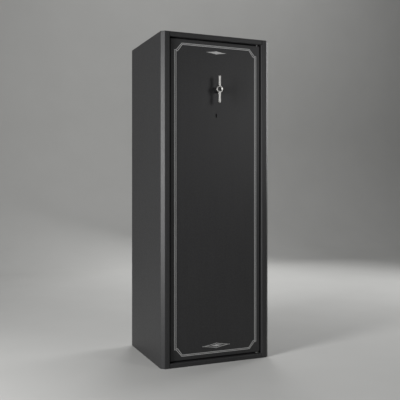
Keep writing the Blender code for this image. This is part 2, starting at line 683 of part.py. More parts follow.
def make_handle():
    """The two-arm handle, its hub insert, the spindle with the pinion, and the retainer behind it."""
    upper = arm_outline()
    lower = [(-x, -z) for x, z in upper]
    outline = [(x, HANDLE_Z + z) for x, z in upper + lower]
    y0, y1 = HANDLE_Y - HANDLE_THICK / 2, HANDLE_Y + HANDLE_THICK / 2
    shape = prism(outline, "Y", y0, y1)
    rims = [e for e in shape.edges if abs(e.verts[0].co.y - e.verts[1].co.y) < 1e-6]
    bmesh.ops.bevel(shape, geom=rims, offset=0.0012, segments=2, profile=0.5, affect="EDGES")
    handle = piece("handle", shape, "handle", "satin_steel", True)
    cut(handle, bar(HUB_HOLE_R, (0, y0 - PAST, HANDLE_Z), (0, y1 + PAST, HANDLE_Z), 32))
    insert = bar(HUB_HOLE_R - FIT, (0, y0 + 0.003, HANDLE_Z), (0, y1, HANDLE_Z), 32)
    piece("hub_insert", insert, "handle", "black_paint", True)
    gear_front, gear_back = ROD_Y - PLATE / 2 - 0.001, CARRIAGE_Y + PLATE / 2 + 0.001
    shaft = bar(SPINDLE_R, (0, y1 + FIT, HANDLE_Z), (0, gear_back, HANDLE_Z))
    piece("spindle", shaft, "handle", "satin_steel", True)
    bore = SPINDLE_R + FIT
    pinion = piece("pinion", prism(pinion_outline(), "Y", gear_front, gear_back), "handle", "satin_steel")
    cut(pinion, bar(bore, (0, gear_front - PAST, HANDLE_Z), (0, gear_back + PAST, HANDLE_Z)))
    retainer = bar(0.009, (0, gear_back + FIT, HANDLE_Z), (0, gear_back + 0.003, HANDLE_Z))
    piece("spindle_retainer", retainer, "handle", "zinc_plate", True)
    boss_bore = SPINDLE_R + 0.0005
    length = 0.0305
    boss = [(BOSS_R, 0), (BOSS_R, 0.026), (BOSS_R - 0.002, length), (boss_bore, length), (boss_bore, 0)]
    front = (0, DOOR_FACE - FIT, HANDLE_Z)
    piece("handle_boss", turned(boss, front, (0, -1, 0), 32), "door", "black_paint", True)
    bush = tube(0.011, bore, (0, DOOR_INSIDE + FIT, HANDLE_Z), (0, gear_front - FIT, HANDLE_Z))
    piece("spindle_bush", bush, "door", "brass", True)


# --- lock ---------------------------------------------------------------------------------------

def make_lock():
    """The lever lock: an open case and its cover, the curtain that the key turns, and the bolt."""
    y0 = DOOR_INSIDE + FIT
    y1 = y0 + CASE_DEPTH
    low, high = LOCK_Z - CASE_LOW, LOCK_Z + CASE_HIGH
    case = piece("lock_case", box((-CASE_HALF, y0, low), (CASE_HALF, y1, high)), "door", "zinc_plate")
    cut(case, box((-CASE_HALF + CASE_WALL, y0 + CASE_WALL, low + CASE_WALL),
                  (CASE_HALF - CASE_WALL, y1 + 0.01, high - CASE_WALL)))
    half = LOCK_BOLT_WIDTH / 2
    bolt_y = [y0 + depth for depth in LOCK_BOLT_LAYER]
    mouth = box((LOCK_BOLT_X - half - FIT, bolt_y[0] - FIT, high - PAST),
                (LOCK_BOLT_X + half + FIT, bolt_y[1] + FIT, high + PAST))
    cut(case, bar(CURTAIN_R + FIT, (0, y0 - PAST, LOCK_Z), (0, y0 + PAST, LOCK_Z), 32), mouth)
    cover = box((-CASE_HALF, y1 + FIT, low), (CASE_HALF, y1 + FIT + LOCK_COVER, high))
    piece("lock_cover", cover, "door", "zinc_plate")
    bolt = box((LOCK_BOLT_X - half, bolt_y[0], LOCK_Z + LOCK_BOLT_FOOT),
               (LOCK_BOLT_X + half, bolt_y[1], high + 0.001))
    piece("lock_bolt", bolt, "lock_bolt", "brass")
    barrel = bar(CURTAIN_R, (0, y0, LOCK_Z), (0, y1 - FIT, LOCK_Z), 32)
    curtain = piece("key_curtain", barrel, "curtain", "brass", True)
    wide, tall = KEY_SLOT
    cut(curtain, box((-wide, y0 - PAST, LOCK_Z - tall), (wide, y1 - 0.004, LOCK_Z + tall)))
    levers = box((-0.027, bolt_y[0], LOCK_Z + 0.014), (0.001, bolt_y[1], LOCK_Z + 0.036))
    piece("lever_pack", levers, "door", "brass")


# --- whole --------------------------------------------------------------------------------------

def main():
    for obj in list(bpy.data.objects):
        bpy.data.objects.remove(obj, do_unlink=True)
    body("cabinet", (0, 0, 0))
    body("door", (PIVOT_X, PIVOT_Y, 0), "cabinet")
    body("handle", (0, HANDLE_Y, HANDLE_Z), "door")
    body("carriage", (SPINE[0], CARRIAGE_Y, HANDLE_Z), "door")
    body("top_rod", (ROD_X, ROD_Y, HANDLE_Z), "door")
    body("bottom_rod", (-ROD_X, ROD_Y, HANDLE_Z), "door")
    body("curtain", (0, DOOR_INSIDE, LOCK_Z), "door")
    body("lock_bolt", (LOCK_BOLT_X, DOOR_INSIDE, LOCK_Z), "door")
    make_casing()
    make_end_panels()
    make_rails()
    make_hinge_pins()
    make_door_stops()
    make_linings()
    make_shelf()
    make_barrel_rack()
    make_door_pan()
    make_door_cover()
    make_hinge_bushes()
    make_dog_bar()
    make_stiffener()
    make_guides()
    make_carriage()
    make_rod("top", 1)
    make_rod("bottom", -1)
    make_handle()
    make_lock()


main()
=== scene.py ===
import json
import math

import bmesh
import bpy
import numpy as np
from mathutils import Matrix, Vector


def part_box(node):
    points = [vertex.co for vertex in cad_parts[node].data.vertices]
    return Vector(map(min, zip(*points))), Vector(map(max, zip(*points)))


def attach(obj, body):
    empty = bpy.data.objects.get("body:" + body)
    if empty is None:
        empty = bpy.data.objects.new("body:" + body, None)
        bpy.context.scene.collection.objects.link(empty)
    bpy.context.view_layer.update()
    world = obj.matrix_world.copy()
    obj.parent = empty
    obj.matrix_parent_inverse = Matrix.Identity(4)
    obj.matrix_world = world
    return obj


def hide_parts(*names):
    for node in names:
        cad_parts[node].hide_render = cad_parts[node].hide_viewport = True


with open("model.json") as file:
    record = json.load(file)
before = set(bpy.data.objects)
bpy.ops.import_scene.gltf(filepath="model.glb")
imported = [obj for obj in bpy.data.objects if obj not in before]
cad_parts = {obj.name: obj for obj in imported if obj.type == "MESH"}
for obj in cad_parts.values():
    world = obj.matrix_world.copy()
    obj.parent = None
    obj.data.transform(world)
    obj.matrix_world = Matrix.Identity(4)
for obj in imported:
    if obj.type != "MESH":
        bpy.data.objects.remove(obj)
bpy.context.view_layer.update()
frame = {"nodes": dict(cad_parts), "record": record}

# --- Studio -------------------------------------------------------------------------------------
# A matt pale floor that sweeps up behind the safe, a tall softbox on the left whose reflection
# lights the bevelled corner, a soft fill from the front right, and one light each for the
# backdrop, the right side and the back.


def put_in_scene(name, data):
    """An object of a mesh, a light or a camera, linked to the scene."""
    obj = bpy.data.objects.new(name, data)
    bpy.context.scene.collection.objects.link(obj)
    return obj


def linear(hex_colour):
    """An sRGB hex colour as linear red, green, blue and alpha, by the sRGB transfer curve."""
    value = np.array([int(hex_colour[i:i + 2], 16) for i in (1, 3, 5)]) / 255
    rgb = np.where(value <= 0.04045, value / 12.92, ((value + 0.055) / 1.055) ** 2.4)
    return (*rgb.tolist(), 1.0)


def new_material(name):
    """An empty node material with its shader joined to its output. Returns the material and the shader."""
    material = bpy.data.materials.new(name)
    material.use_nodes = True
    material.node_tree.nodes.clear()
    shader = material.node_tree.nodes.new("ShaderNodeBsdfPrincipled")
    output = material.node_tree.nodes.new("ShaderNodeOutputMaterial")
    material.node_tree.links.new(shader.outputs["BSDF"], output.inputs["Surface"])
    return material, shader


def add(material, kind, inputs, to=None, **settings):
    """Adds a node. Each input is set to a value or joined to another node's output, and its first output can
    be joined to a socket of the shader."""
    node = material.node_tree.nodes.new(kind)
    for key, value in settings.items():
        setattr(node, key, value)
    for socket, value in inputs.items():
        if isinstance(value, bpy.types.NodeSocket):
            material.node_tree.links.new(value, node.inputs[socket])
        else:
            node.inputs[socket].default_value = value
    output = next(socket for socket in node.outputs if socket.enabled)
    if to:
        material.node_tree.links.new(output, to)
    return output


def matt_floor_paint():
    """Matt pale grey studio paint, rolled, so it has hardly any gloss and a faint cloudiness, a third of a
    metre across."""
    material, shader = new_material("matt_floor_paint")
    place = add(material, "ShaderNodeTexCoord", {}).node.outputs["Object"]
    cloud = add(material, "ShaderNodeTexNoise", {"Vector": place, "Scale": 3.0}, noise_dimensions="3D")
    add(material, "ShaderNodeMix", {0: cloud, 6: linear("#c1c1bf"), 7: linear("#c7c7c5")},
        shader.inputs["Base Color"], data_type="RGBA")
    shader.inputs["Roughness"].default_value = 0.85
    shader.inputs["Specular IOR Level"].default_value = 0.2
    return material


def sweep_floor():
    """A floor that turns up into a wall: straight, then a quarter circle, then straight again."""
    near = -7.0
    reach = 3.0
    turn = 1.5
    height = 7.0
    half_width = 8.0
    angle = np.linspace(0, math.pi / 2, 24)
    y = np.concatenate([[near, reach], reach + turn * np.sin(angle), [reach + turn]])
    z = np.concatenate([[0.0, 0.0], turn - turn * np.cos(angle), [height]])
    x = np.array([-half_width, half_width])
    points = np.stack([np.tile(x, len(y)), np.repeat(y, 2), np.repeat(z, 2)], axis=1)
    start = np.arange(len(y) - 1) * 2
    faces = np.stack([start, start + 1, start + 3, start + 2], axis=1)
    mesh = bpy.data.meshes.new("studio_floor")
    mesh.from_pydata(points.tolist(), [], faces.tolist())
    mesh.shade_smooth()
    mesh.materials.append(matt_floor_paint())
    put_in_scene("studio_floor", mesh)


def softbox(name, place, aim, width, height, power):
    """A rectangular light at a place, turned to face the aim."""
    data = bpy.data.lights.new(name, "AREA")
    data.shape = "RECTANGLE"
    data.size = width
    data.size_y = height
    data.energy = power
    lamp = put_in_scene(name, data)
    lamp.location = place
    lamp.visible_camera = False
    direction = (np.array(aim) - np.array(place)).tolist()
    lamp.rotation_euler = Vector(direction).to_track_quat("-Z", "Y").to_euler()


def make_world():
    """An even, dim grey surround."""
    world = bpy.data.worlds.new("studio_air")
    world.use_nodes = True
    world.node_tree.nodes["Background"].inputs["Color"].default_value = linear("#d8d8d8")
    world.node_tree.nodes["Background"].inputs["Strength"].default_value = 0.06
    bpy.context.scene.world = world
    bpy.context.scene.view_settings.view_transform = "Standard"


def make_camera():
    """A level camera a little above the safe's middle, to the left of its front, with a 56.5 mm lens."""
    data = bpy.data.cameras.new("camera")
    data.lens = 56.5
    data.sensor_width = 36.0
    data.shift_x = -0.001
    data.shift_y = -0.038
    data.clip_start = 0.05
    data.clip_end = 100.0
    camera = put_in_scene("camera", data)
    camera.location = (-1.185, -2.851, 0.817)
    camera.rotation_euler = (math.radians(90), 0.0, math.radians(-22.78))
    bpy.context.scene.camera = camera


sweep_floor()
softbox("left_softbox", (-2.6, -1.1, 1.1), (0, 0, 0.85), width=0.7, height=1.6, power=86)
softbox("right_fill", (1.9, -3.0, 1.6), (0, 0, 0.9), width=1.0, height=1.0, power=18)
softbox("backdrop_light", (2.0, 1.6, 5.2), (2.0, 3.6, 0.0), width=4.0, height=3.0, power=75)
softbox("right_side_light", (3.2, 0.9, 1.7), (0.27, 0.1, 0.8), width=1.0, height=1.6, power=30)
softbox("back_light", (1.3, 3.2, 1.7), (0, 0.23, 0.8), width=1.2, height=1.4, power=30)
make_world()
make_camera()

# --- Casing -------------------------------------------------------------------------------------
# The sides, the back, the front stiles with their bevelled corners, and the jambs and lips behind
# them: one 3 mm steel sheet folded on a press brake, then powder coated in fine-textured charcoal.


def textured_powder_coat():
    """Polyester powder with a fine grit in it, baked on: satin, with an even pebbled grain of about 1.2 mm.

    The spray gun's upright passes leave faint streaks 18 mm apart, a little lighter and duller, and the
    orange peel between the grains is drawn 7 mm wide, coarser than the real one, so that it shows.
    """
    material, shader = new_material("textured_powder_coat")
    place = add(material, "ShaderNodeTexCoord", {}).node.outputs["Object"]
    passes = add(material, "ShaderNodeMapping", {"Vector": place, "Scale": (1.0, 1.0, 0.06)})
    streaks = add(material, "ShaderNodeTexNoise", {"Vector": passes, "Scale": 1000 / 18.0, "Detail": 3.0})
    grit = add(material, "ShaderNodeTexNoise", {"Vector": place, "Scale": 1000 / 1.2, "Detail": 2.0})
    peel = add(material, "ShaderNodeTexNoise", {"Vector": place, "Scale": 1000 / 7.0, "Detail": 1.0})
    grain = add(material, "ShaderNodeMath", {0: grit, 1: peel}, operation="ADD")
    speckle = add(material, "ShaderNodeMath", {0: streaks, 1: 0.4, 2: grain}, operation="MULTIPLY_ADD")
    mottle = add(material, "ShaderNodeMapRange", {"Value": speckle, "From Min": 0.90, "From Max": 1.50})
    add(material, "ShaderNodeMix", {0: mottle, 6: linear("#242425"), 7: linear("#2f2f30")},
        shader.inputs["Base Color"], data_type="RGBA")
    add(material, "ShaderNodeMapRange", {"Value": mottle, "To Min": 0.41, "To Max": 0.51},
        shader.inputs["Roughness"])
    add(material, "ShaderNodeBump", {"Height": grain, "Distance": 0.0003, "Strength": 0.6},
        shader.inputs["Normal"])
    shader.inputs["Specular IOR Level"].default_value = 0.4
    return material


def arced(corners, radius, steps=6):
    """A path with each corner rounded: an arc that touches both runs, whose middle lies on the corner's
    bisector at radius / sin(half the inner angle). Its points swing evenly from the start to the end, each
    weighted by the sine of its share of the turn over the sine of the whole turn."""
    corners = np.asarray(corners, float)
    radius = np.broadcast_to(np.asarray(radius, float), len(corners) - 2)[:, None]
    to_last = corners[:-2] - corners[1:-1]
    to_next = corners[2:] - corners[1:-1]
    to_last /= np.linalg.norm(to_last, axis=1, keepdims=True)
    to_next /= np.linalg.norm(to_next, axis=1, keepdims=True)
    inner = np.arccos(np.clip((to_last * to_next).sum(1, keepdims=True), -1, 1))
    bisector = to_last + to_next
    bisector /= np.linalg.norm(bisector, axis=1, keepdims=True)
    middle = corners[1:-1] + bisector * radius / np.sin(inner / 2)
    start = corners[1:-1] + to_last * radius / np.tan(inner / 2) - middle
    end = corners[1:-1] + to_next * radius / np.tan(inner / 2) - middle
    turn = (math.pi - inner)[:, None]
    share = np.linspace(0, 1, steps + 1)[None, :, None]
    swing = np.sin((1 - share) * turn) * start[:, None] + np.sin(share * turn) * end[:, None]
    arcs = middle[:, None] + swing / np.sin(turn)
    return np.concatenate([corners[:1], arcs.reshape(-1, 2), corners[-1:]])


def beside(path, distance, closed=False):
    """The path moved to its right by the distance, with mitred corners: each point goes along the sum of its
    two runs' normals, divided by one plus their dot product."""
    if closed:
        path = np.concatenate([path[-1:], path, path[:1]])
    run = np.diff(path, axis=0)
    run /= np.linalg.norm(run, axis=1, keepdims=True)
    normal = np.stack([run[:, 1], -run[:, 0]], axis=1)
    dot = (normal[:-1] * normal[1:]).sum(1, keepdims=True)
    inner = path[1:-1] + (normal[:-1] + normal[1:]) * distance / (1 + dot)
    if closed:
        return inner
    return np.concatenate([path[:1] + normal[:1] * distance, inner, path[-1:] + normal[-1:] * distance])


def raised(flat, axis, level):
    """Points of a flat outline, at a level along an axis. Its own two numbers are for the other two axes."""
    return np.insert(flat, "XYZ".index(axis), level, axis=1)


def skin(rings, loop=False):
    """Points, four-sided faces and fans of a closed surface through rings of points, each joined to the next.
    The ends are closed by fans round their middles, or the last ring is joined to the first. A surface whose
    signed volume is negative is turned the right way out."""
    rings = np.asarray(rings, float)
    count, around = rings.shape[:2]
    points = rings.reshape(-1, 3)
    ring = np.arange(count if loop else count - 1)[:, None]
    step = np.arange(around)[None, :]
    after = (ring + 1) % count
    a, b = ring * around + step, ring * around + (step + 1) % around
    c, d = after * around + (step + 1) % around, after * around + step
    quads = np.stack([a, b, c, d], axis=-1).reshape(-1, 4)
    fans = np.empty((0, 3), int)
    if not loop:
        points = np.concatenate([points, rings[0].mean(0, keepdims=True), rings[-1].mean(0, keepdims=True)])
        near = np.arange(around)
        following = (near + 1) % around
        hub = count * around
        last = (count - 1) * around
        first_fan = np.stack([following, near, np.full(around, hub)], axis=1)
        last_fan = np.stack([last + near, last + following, np.full(around, hub + 1)], axis=1)
        fans = np.concatenate([first_fan, last_fan])
    triangles = np.concatenate([quads[:, :3], quads[:, [0, 2, 3]], fans])
    first, second, third = (points[triangles[:, i]] for i in range(3))
    if np.einsum("ij,ij->", first, np.cross(second, third)) < 0:
        quads, fans = quads[:, ::-1], fans[:, ::-1]
    return points, quads, fans


def joined(name, surfaces):
    """An object whose mesh holds closed surfaces one after another, each one's faces counted on from the
    points before it."""
    starts = np.cumsum([0] + [len(points) for points, quads, fans in surfaces])
    faces = []
    for start, (points, quads, fans) in zip(starts, surfaces):
        faces += (quads + start).tolist() + (fans + start).tolist()
    mesh = bpy.data.meshes.new(name)
    mesh.from_pydata(np.concatenate([points for points, quads, fans in surfaces]).tolist(), [], faces)
    mesh.update()
    return put_in_scene(name, mesh)


def drill(obj, cuts):
    """Cuts closed surfaces out of a piece, and keeps the result as its mesh."""
    for surface in cuts:
        tool = joined("drill", [surface])
        modifier = obj.modifiers.new("hole", "BOOLEAN")
        modifier.object = tool
        modifier.solver = "EXACT"
        bpy.context.view_layer.update()
        cut = bpy.data.meshes.new_from_object(obj.evaluated_get(bpy.context.evaluated_depsgraph_get()))
        obj.modifiers.clear()
        obj.data = cut
        bpy.data.objects.remove(tool)


def shaded(obj, ease=0.0, segments=2):
    """Rounded edges where asked, and smooth shading that breaks at sharp edges and keeps flat faces flat."""
    if ease:
        rounding = obj.modifiers.new("eased_edges", "BEVEL")
        rounding.width = ease
        rounding.segments = segments
        rounding.limit_method = "ANGLE"
        rounding.angle_limit = math.radians(40)
    obj.data.shade_smooth()
    obj.data.set_sharp_from_angle(angle=math.radians(32))
    weigh = obj.modifiers.new("flat_faces", "WEIGHTED_NORMAL")
    weigh.keep_sharp = True


body_of = {node: body for body, nodes in frame["record"]["behaviour"]["bodies"].items() for node in nodes}


def fitted(obj, material, stands_for, body=None):
    """Gives a piece its material and the body of the CAD piece it stands for, or the body given, and hides
    that CAD piece.
    """
    obj.data.materials.clear()
    obj.data.materials.append(material)
    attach(obj, body_of[stands_for] if stands_for else body)
    if stands_for:
        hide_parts(stands_for)


def made(name, surfaces, material, stands_for=None, body=None, cuts=(), ease=0.0):
    """A piece from one or more closed surfaces, with holes cut and edges eased."""
    obj = joined(name, surfaces)
    drill(obj, cuts)
    shaded(obj, ease)
    fitted(obj, material, stands_for, body)


def turned(profile, middle, axis, loop=False, count=48):
    """A profile of (radius, distance) pairs carried round X, Y or Z: each ring is a circle of that radius, at
    that distance along the axis from the middle."""
    angle = np.arange(count) * math.tau / count
    circle = np.stack([np.cos(angle), np.sin(angle)], axis=1)
    rings = np.array([raised(circle * radius, axis, distance) for radius, distance in profile])
    return skin(rings + middle, loop)


def hole(radius, middle, axis, reach=0.010, count=32):
    """A plain round bar that reaches as far on each side of its middle, for cutting."""
    return turned([(radius, -reach), (radius, reach)], middle, axis, count=count)


def strip_edges(outer, inner, axis, low, high):
    """The four long edges of a strip: its outer path at both levels, then its inner one back again."""
    edges = ((outer, low), (outer, high), (inner, high), (inner, low))
    return [raised(path, axis, level) for path, level in edges]


def folded_sheet(path, thickness, axis, low, high):
    """A sheet that follows a path across its axis: each ring is the sheet's four corners at one point of the
    path, the outer two on it and the inner two beside it."""
    return skin(np.stack(strip_edges(path, beside(path, thickness), axis, low, high), axis=1))


charcoal = textured_powder_coat()

casing_low, casing_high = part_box("casing")
half_casing = casing_high.x
front = casing_low.y
back = casing_high.y
wall = 0.003
bevel = 0.016
stile = 0.040
jamb = 0.030
lip = 0.030
opening = half_casing - stile
fold = 0.0045
bevel_fold = 0.006
anchor_hole = 0.007

left_path = np.array([(-opening - lip, front + jamb), (-opening, front + jamb), (-opening, front),
                      (-half_casing + bevel, front), (-half_casing, front + bevel), (-half_casing, back)])
casing_path = np.concatenate([left_path, left_path[::-1] * (-1, 1)])
left_folds = [fold, fold, bevel_fold, bevel_fold, fold]
casing_outline = arced(casing_path, left_folds + left_folds[::-1])
wall_anchors = [(x, z) for x in (-0.150, 0.150) for z in (0.200, 1.400)]
made("folded_casing", [folded_sheet(casing_outline, wall, "Z", casing_low.z, casing_high.z)], charcoal,
     "casing", cuts=[hole(anchor_hole, (x, back, z), "Y") for x, z in wall_anchors])

# --- End panels and rails -----------------------------------------------------------------------
# The 3 mm plates that close the top and the bottom, and the folded rails above and below the
# door. They are welded to the casing and the welds are ground flush before the coat goes on.


def arced_ring(corners, radius, steps=6):
    """A closed outline with each corner rounded by an arc, as on the casing."""
    corners = np.asarray(corners, float)
    return arced(np.concatenate([corners[-1:], corners, corners[:1]]), radius, steps)[1:-1]


def rounded_rims(low, high, ease_low, ease_high, steps):
    """Insets and levels up a side whose two rims are quarter circles: each inset is the radius times one less
    the sine of an angle, and each level lies the radius times one less its cosine from the end."""
    angle = np.linspace(0, math.pi / 2, steps)
    inwards, along = 1 - np.sin(angle), 1 - np.cos(angle)
    insets = np.concatenate([ease_low * inwards, ease_high * inwards[::-1]])
    levels = np.concatenate([low + ease_low * along, high - ease_high * along[::-1]])
    return insets, levels


def stacked(outline, insets, levels, axis):
    """Rings of one closed outline, each moved inwards by its inset and raised to its level."""
    return [raised(beside(outline, inset, closed=True), axis, level) for inset, level in zip(insets, levels)]


def plate(outline, low, high, ease_low, ease_high):
    """A level plate of an outline, with its lower and upper rims rounded."""
    insets, levels = rounded_rims(low, high, ease_low, ease_high, 5)
    return skin(stacked(outline, insets, levels, "Z"))


def prism(outline, axis, low, high):
    """A solid of one outline between two levels, with plain edges."""
    return skin([raised(outline, axis, low), raised(outline, axis, high)])


def band(outline, width, axis, low, high):
    """A flat strip of constant width that runs round inside an outline."""
    return skin(strip_edges(outline, beside(outline, width, closed=True), axis, low, high), loop=True)


corners = np.array([(half_casing, back), (half_casing, front + bevel), (half_casing - bevel, front),
                    (-half_casing + bevel, front), (-half_casing, front + bevel), (-half_casing, back)])
plate_outline = arced_ring(corners, [fold, bevel_fold, bevel_fold, bevel_fold, bevel_fold, fold])
top_low, top_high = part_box("top_panel")
floor_low, floor_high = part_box("floor_panel")
rim = 0.0015
sharp_rim = 0.00002
seam = 0.0003
made("ground_top_panel", [plate(plate_outline, top_low.z, top_high.z, sharp_rim, rim)], charcoal, "top_panel")
floor_anchors = [(x, y) for x in (-0.180, 0.180) for y in (-0.100, 0.150)]
made("ground_floor_panel", [plate(plate_outline, floor_low.z, floor_high.z, rim, sharp_rim)], charcoal,
     "floor_panel", cuts=[hole(anchor_hole, (x, y, 0), "Z") for x, y in floor_anchors])

pin_low, pin_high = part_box("hinge_pin_bottom")
pivot = ((pin_low.x + pin_high.x) / 2, (pin_low.y + pin_high.y) / 2)
pin_hole = 0.0043
rail_lip = 0.012
weld_sink = 0.0001
weld_outline = beside(plate_outline, weld_sink, closed=True)
welds = [band(weld_outline, wall, "Z", level - seam / 2, level + 1.5 * seam)
         for level in (floor_high.z, top_low.z - seam)]
for rail, direction in (("bottom_rail", 1), ("top_rail", -1)):
    rail_low, rail_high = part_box(rail)
    outer, face = (rail_low.z, rail_high.z)[::direction]
    rail_path = np.array([(front, outer), (front, face), (front + jamb, face),
                          (front + jamb, face - direction * rail_lip)])
    rail_shape = folded_sheet(arced(rail_path[::direction], fold), wall, "X", rail_low.x, rail_high.x)
    made("folded_" + rail, [rail_shape], charcoal, rail,
         cuts=[hole(pin_hole, (*pivot, face), "Z", reach=0.006)])
    for x in (-opening, opening - seam):
        strip = np.array([(x, front + weld_sink), (x, front + jamb),
                          (x + seam, front + jamb), (x + seam, front + weld_sink)])
        welds.append(prism(strip, "Z", rail_low.z, rail_high.z))
made("ground_welds", welds, charcoal, body="cabinet")

# --- Hinge pins and thrust washer ---------------------------------------------------------------
# Two headed pins of ground steel stand in the rails, and a hardened steel washer on the lower one
# carries the door. The pins are turned and ground, the washer is cut from bar and ground.


def ground_steel(name, stretch):
    """Bright mild steel, ground and oiled: a clean metal gloss with fine lines across the grinding.

    The lines are drawn 0.5 mm apart, coarser than real grit marks, so that they show.
    """
    material, shader = new_material(name)
    place = add(material, "ShaderNodeTexCoord", {}).node.outputs["Object"]
    drawn = add(material, "ShaderNodeMapping", {"Vector": place, "Scale": stretch})
    lines = add(material, "ShaderNodeTexNoise", {"Vector": drawn, "Scale": 1000 / 0.5, "Detail": 3.0})
    add(material, "ShaderNodeMix", {0: lines, 6: linear("#9c9c9b"), 7: linear("#c4c4c1")},
        shader.inputs["Base Color"], data_type="RGBA")
    add(material, "ShaderNodeMapRange", {"Value": lines, "To Min": 0.20, "To Max": 0.42},
        shader.inputs["Roughness"])
    add(material, "ShaderNodeBump", {"Height": lines, "Distance": 0.00003, "Strength": 0.4},
        shader.inputs["Normal"])
    shader.inputs["Metallic"].default_value = 1.0
    return material


def chamfered_bar(node, axis, chamfer, material, bore=0.0, cuts=()):
    """A round bar that fills a CAD piece's box along an axis: both ends chamfered, with a bore if asked."""
    low, high = (np.array(point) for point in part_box(node))
    along = "XYZ".index(axis)
    radius = (high - low)[(along + 1) % 3] / 2
    reach = (high - low)[along] / 2
    end = radius - chamfer
    profile = [(end, -reach), (radius, chamfer - reach), (radius, reach - chamfer), (end, reach)]
    if bore:
        profile += [(bore, reach), (bore, -reach)]
    shape = turned(profile, (low + high) / 2, axis, loop=bool(bore))
    made(node + "_turned", [shape], material, node, cuts=cuts)


steel_along_z = ground_steel("ground_steel_along_z", (0.05, 0.05, 1.0))

pin_head = (pin_high.x - pin_low.x) / 2
pin_head_height = 0.004
pin_shank = 0.004
pin_length = pin_high.z - pin_low.z
chamfer = 0.0005
for node, direction in (("hinge_pin_bottom", 1), ("hinge_pin_top", -1)):
    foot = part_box(node)[::direction][0].z
    profile = np.array([(pin_head - chamfer, 0), (pin_head, chamfer), (pin_head, pin_head_height),
                        (pin_shank, pin_head_height), (pin_shank, pin_length - 2 * chamfer),
                        (pin_shank - 2 * chamfer, pin_length)]) * (1, direction)
    made(node + "_turned", [turned(profile, (*pivot, foot), "Z")], steel_along_z, node)
chamfered_bar("thrust_washer", "Z", 0.0004, steel_along_z, bore=pin_hole)

# --- Door stops and buffers ---------------------------------------------------------------------
# Two tabs of 3 mm steel welded inside the left wall, with a moulded rubber pad on each that the
# closed door's edge rests against.


def moulded_rubber(name, dark, light, grain_mm):
    """Black rubber, moulded in a blasted tool: matt, with a fine grain, and slightly dusty, so a little
    lighter and duller in patches 25 mm across."""
    material, shader = new_material(name)
    place = add(material, "ShaderNodeTexCoord", {}).node.outputs["Object"]
    dust = add(material, "ShaderNodeTexNoise", {"Vector": place, "Scale": 1000 / 25.0, "Detail": 4.0})
    grain = add(material, "ShaderNodeTexNoise", {"Vector": place, "Scale": 1000 / grain_mm, "Detail": 2.0})
    add(material, "ShaderNodeMix", {0: dust, 6: linear(dark), 7: linear(light)},
        shader.inputs["Base Color"], data_type="RGBA")
    add(material, "ShaderNodeMapRange", {"Value": dust, "To Min": 0.60, "To Max": 0.80},
        shader.inputs["Roughness"])
    add(material, "ShaderNodeBump", {"Height": grain, "Distance": 0.0001, "Strength": 0.4},
        shader.inputs["Normal"])
    return material


def eased(node, ease, material, segments=2):
    """A copy of a CAD piece, its triangles merged into flat faces, with its sharp edges rounded."""
    work = bmesh.new()
    work.from_mesh(frame["nodes"][node].data)
    bmesh.ops.remove_doubles(work, verts=work.verts, dist=1e-6)
    bmesh.ops.dissolve_limit(work, angle_limit=math.radians(1), verts=work.verts, edges=work.edges)
    mesh = bpy.data.meshes.new(node + "_eased")
    work.to_mesh(mesh)
    work.free()
    obj = put_in_scene(node + "_eased", mesh)
    shaded(obj, ease, segments)
    fitted(obj, material, node)


rubber = moulded_rubber("moulded_rubber", "#141415", "#222224", 0.8)
for height in ("upper", "lower"):
    eased("door_stop_" + height, 0.0008, charcoal)
    eased("door_buffer_" + height, 0.0010, rubber, segments=3)

# --- Felt linings -------------------------------------------------------------------------------
# 3 mm boards covered in needle felt, cut to size and glued to the side and back walls, so that
# gun stocks and barrels don't touch steel. The back one has holes for the wall anchors.


def needle_felt():
    """Grey polyester fibres needled into a mat: no gloss, a soft sheen at grazing angles, short fibres lying
    every way. The fibres are drawn 1.5 mm wide, coarser than real ones, so that they show."""
    material, shader = new_material("needle_felt")
    place = add(material, "ShaderNodeTexCoord", {}).node.outputs["Object"]
    bent = add(material, "ShaderNodeTexNoise", {"Vector": place, "Scale": 1000 / 12.0, "Detail": 1.0})
    fibres = add(material, "ShaderNodeTexNoise",
                 {"Vector": place, "Scale": 1000 / 1.5, "Detail": 5.0, "Roughness": 0.7, "Distortion": 1.5})
    tone = add(material, "ShaderNodeMath", {0: bent, 1: 0.25, 2: fibres}, operation="MULTIPLY_ADD")
    mottle = add(material, "ShaderNodeMapRange", {"Value": tone, "From Min": 0.40, "From Max": 0.85})
    add(material, "ShaderNodeMix", {0: mottle, 6: linear("#353538"), 7: linear("#515155")},
        shader.inputs["Base Color"], data_type="RGBA")
    add(material, "ShaderNodeBump", {"Height": fibres, "Distance": 0.0006, "Strength": 0.6},
        shader.inputs["Normal"])
    shader.inputs["Roughness"].default_value = 0.95
    shader.inputs["Specular IOR Level"].default_value = 0.2
    shader.inputs["Sheen Weight"].default_value = 0.25
    shader.inputs["Sheen Roughness"].default_value = 0.5
    return material


felt = needle_felt()
for lining in ("lining_left", "lining_right", "lining_back"):
    eased(lining, 0.0009, felt)

# --- Floor mat ----------------------------------------------------------------------------------
# An extruded black rubber mat with fine ribs from front to back, cut to the floor, with holes for
# the floor anchors. The gun butts stand on it.


def ribbed_mat(low, high, pitch, depth, edge):
    """Rings across the mat from left to right, six to a rib. Each is the section from front to back: six
    points, of which the upper four dip between the ribs by depth times half of one less the cosine, and the
    outermost two of those lie lower by the edge's chamfer."""
    x = np.linspace(low.x, high.x, int(round((high.x - low.x) / pitch * 6)) + 1)
    top = high.z - depth * (1 - np.cos(math.tau * (x - low.x) / pitch)) / 2
    y = np.array([low.y, low.y, low.y + edge, high.y - edge, high.y, high.y])
    level = np.array([0, 1, 1, 1, 1, 0])[None] * (top - low.z)[:, None] + low.z
    level -= np.array([0, edge, 0, 0, edge, 0])[None]
    x, y = np.broadcast_to(x[:, None], level.shape), np.broadcast_to(y, level.shape)
    return skin(np.stack([x, y, level], axis=-1))


